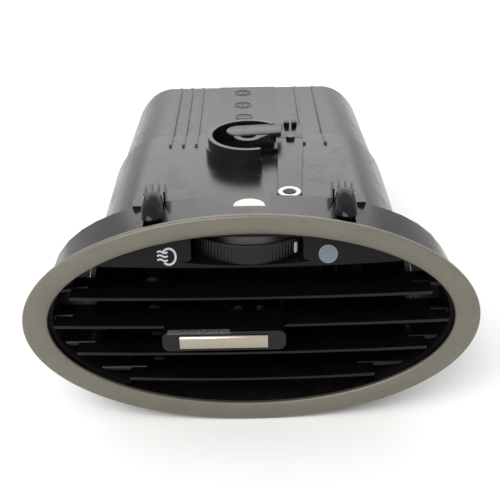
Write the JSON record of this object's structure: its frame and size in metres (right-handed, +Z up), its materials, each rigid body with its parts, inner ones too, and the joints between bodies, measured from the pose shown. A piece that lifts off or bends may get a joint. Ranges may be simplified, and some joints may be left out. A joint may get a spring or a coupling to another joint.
{
  "type": "dashboard air vent",
  "caption": "Oval dashboard air vent with tilting horizontal vanes, sliding knob, vertical vanes, thumbwheel, linked shut-off flap and a duct behind.",
  "frame": {"origin": "middle of the vent's footprint, at the height of the oval ring's lowest point", "axes": "-Y out of the face towards the driver, +Y back along the duct, +X to the right seen from the driver, +Z up"},
  "size_m": [0.166, 0.172, 0.0899],
  "materials": {
    "bezel_paint": "satin soft-touch paint",
    "housing_black": "moulded gloss",
    "fascia_black": "fine grain",
    "lens_grey": "translucent",
    "inner_black": "moulded",
    "vane_black": "fine grain",
    "knob_gloss": "polished",
    "trim_chrome": "satin chrome",
    "wheel_black": "knurled",
    "mark_white": "plain",
    "nylon_white": "natural nylon",
    "foam_grey": "foam",
    "lever_black": "moulded",
    "clip_black": "moulded"
  },
  "bodies": {
    "housing": {"bezel_ring": "bezel_paint", "front_collar": "housing_black", "fascia_panel": "fascia_black", "closed_lens": "lens_grey", "duct_upper": "housing_black", "duct_lower": "housing_black", "pivot_strip_left": "inner_black", "pivot_strip_right": "inner_black", "rear_rail_top": "inner_black", "rear_rail_bottom": "inner_black", "wheel_hub_pin": "nylon_white", "snap_clip_left": "clip_black", "snap_clip_right": "clip_black"},
    "vane_1": {"front_vane_1": "vane_black"},
    "vane_2": {"front_vane_2": "vane_black"},
    "vane_3": {"front_vane_3": "vane_black"},
    "vane_4": {"front_vane_4": "vane_black"},
    "vane_link": {"front_vane_link": "inner_black"},
    "knob": {"knob_body": "knob_gloss", "knob_trim": "trim_chrome", "knob_fork": "inner_black"},
    "upright_1": {"rear_vane_1": "vane_black"},
    "upright_2": {"rear_vane_2": "vane_black"},
    "upright_3": {"rear_vane_3": "vane_black"},
    "upright_4": {"rear_vane_4": "vane_black"},
    "upright_5": {"rear_vane_5": "vane_black"},
    "upright_6": {"rear_vane_6": "vane_black"},
    "upright_7": {"rear_vane_7": "vane_black"},
    "upright_link": {"rear_vane_link": "inner_black"},
    "wheel": {"thumbwheel": "wheel_black", "wheel_mark": "mark_white"},
    "flap": {"flap_plate": "inner_black", "flap_seal": "foam_grey", "flap_crank": "lever_black"},
    "link": {"link_bar": "lever_black", "link_bush": "nylon_white"}
  },
  "joints": [
    {"name": "vane_2_tilt", "type": "hinge", "parent": "housing", "child": "vane_2", "pos_m": [0, -0.071, 0.0445], "axis": [1, 0, 0], "range_deg": [-25, 25]},
    {"name": "vane_1_tilt", "type": "hinge", "parent": "housing", "child": "vane_1", "pos_m": [0, -0.071, 0.0565], "axis": [1, 0, 0], "range_deg": [-30, 30]},
    {"name": "vane_3_tilt", "type": "hinge", "parent": "housing", "child": "vane_3", "pos_m": [0, -0.071, 0.0325], "axis": [1, 0, 0], "range_deg": [-30, 30]},
    {"name": "vane_4_tilt", "type": "hinge", "parent": "housing", "child": "vane_4", "pos_m": [0, -0.071, 0.0205], "axis": [1, 0, 0], "range_deg": [-30, 30]},
    {"name": "vane_link_swing", "type": "hinge", "parent": "vane_2", "child": "vane_link", "pos_m": [-0.036, -0.0656, 0.0445], "axis": [1, 0, 0], "range_deg": [-30, 30]},
    {"name": "knob_slide", "type": "slide", "parent": "vane_2", "child": "knob", "axis": [1, 0, 0], "range_m": [-0.005, 0.023]},
    {"name": "upright_4_turn", "type": "hinge", "parent": "housing", "child": "upright_4", "pos_m": [0, -0.048, 0.0445], "axis": [0, 0, 1], "range_deg": [-25, 90]},
    {"name": "upright_1_turn", "type": "hinge", "parent": "housing", "child": "upright_1", "pos_m": [-0.045, -0.048, 0.0445], "axis": [0, 0, 1], "range_deg": [-25, 90]},
    {"name": "upright_2_turn", "type": "hinge", "parent": "housing", "child": "upright_2", "pos_m": [-0.03, -0.048, 0.0445], "axis": [0, 0, 1], "range_deg": [-25, 90]},
    {"name": "upright_3_turn", "type": "hinge", "parent": "housing", "child": "upright_3", "pos_m": [-0.015, -0.048, 0.0445], "axis": [0, 0, 1], "range_deg": [-25, 90]},
    {"name": "upright_5_turn", "type": "hinge", "parent": "housing", "child": "upright_5", "pos_m": [0.015, -0.048, 0.0445], "axis": [0, 0, 1], "range_deg": [-25, 90]},
    {"name": "upright_6_turn", "type": "hinge", "parent": "housing", "child": "upright_6", "pos_m": [0.03, -0.048, 0.0445], "axis": [0, 0, 1], "range_deg": [-25, 90]},
    {"name": "upright_7_turn", "type": "hinge", "parent": "housing", "child": "upright_7", "pos_m": [0.045, -0.048, 0.0445], "axis": [0, 0, 1], "range_deg": [-25, 90]},
    {"name": "upright_link_swing", "type": "hinge", "parent": "upright_4", "child": "upright_link", "pos_m": [0.00268, -0.04343, 0.0641], "axis": [0, 0, 1], "range_deg": [-90, 25]},
    {"name": "wheel_turn", "type": "hinge", "parent": "housing", "child": "wheel", "pos_m": [0, -0.0538, 0.0725], "axis": [0, 0, 1], "range_deg": [-76, 0]},
    {"name": "flap_turn", "type": "hinge", "parent": "housing", "child": "flap", "pos_m": [0, -0.003, 0.0445], "axis": [0, 0, 1], "range_deg": [-67.5, 0.5]},
    {"name": "link_swing", "type": "hinge", "parent": "flap", "child": "link", "pos_m": [0.01798, 0.00456, 0.0815], "axis": [0, 0, 1], "range_deg": [-0.5, 68.5]}
  ],
  "couplings": [
    {"joint": "vane_1_tilt", "follows": "vane_2_tilt", "ratio": 1},
    {"joint": "vane_3_tilt", "follows": "vane_2_tilt", "ratio": 1},
    {"joint": "vane_4_tilt", "follows": "vane_2_tilt", "ratio": 1},
    {"joint": "vane_link_swing", "follows": "vane_2_tilt", "ratio": -1},
    {"joint": "upright_4_turn", "follows": "knob_slide", "rad_per_m": 58.992},
    {"joint": "upright_1_turn", "follows": "knob_slide", "rad_per_m": 58.992},
    {"joint": "upright_2_turn", "follows": "knob_slide", "rad_per_m": 58.992},
    {"joint": "upright_3_turn", "follows": "knob_slide", "rad_per_m": 58.992},
    {"joint": "upright_5_turn", "follows": "knob_slide", "rad_per_m": 58.992},
    {"joint": "upright_6_turn", "follows": "knob_slide", "rad_per_m": 58.992},
    {"joint": "upright_7_turn", "follows": "knob_slide", "rad_per_m": 58.992},
    {"joint": "upright_link_swing", "follows": "knob_slide", "rad_per_m": -58.992},
    {"joint": "flap_turn", "follows": "wheel_turn", "ratio": 0.88},
    {"joint": "link_swing", "follows": "wheel_turn", "ratio": -0.89}
  ]
}
